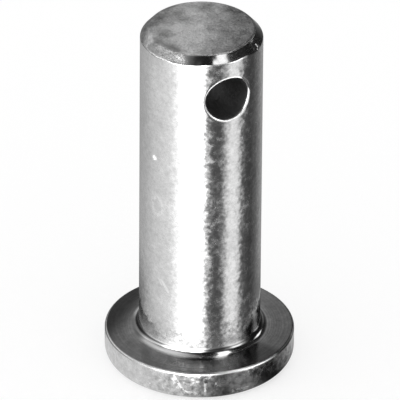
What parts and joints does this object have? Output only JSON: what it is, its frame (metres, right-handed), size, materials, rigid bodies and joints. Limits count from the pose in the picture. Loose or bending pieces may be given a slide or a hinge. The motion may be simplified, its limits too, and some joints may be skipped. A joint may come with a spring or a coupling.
{
  "type": "clevis pin",
  "caption": "Headed clevis pin: a plain round shank with a flat round head, a chamfered tip and a cross hole for a split pin, used to join a fork and an eye.",
  "frame": {"origin": "centre of the head's flat outer face, which the pin stands on", "axes": "+Z along the shank from the head to the tip; +Y along the cross hole"},
  "size_m": [0.0125, 0.0124, 0.0247],
  "materials": {
    "zinc_plated_steel": "turned steel under a thin clear zinc plating, slightly mottled, with small nicks on the head's rim and a rougher tip face"
  },
  "bodies": {
    "root": {"clevis_pin": "zinc_plated_steel"}
  },
  "joints": []
}
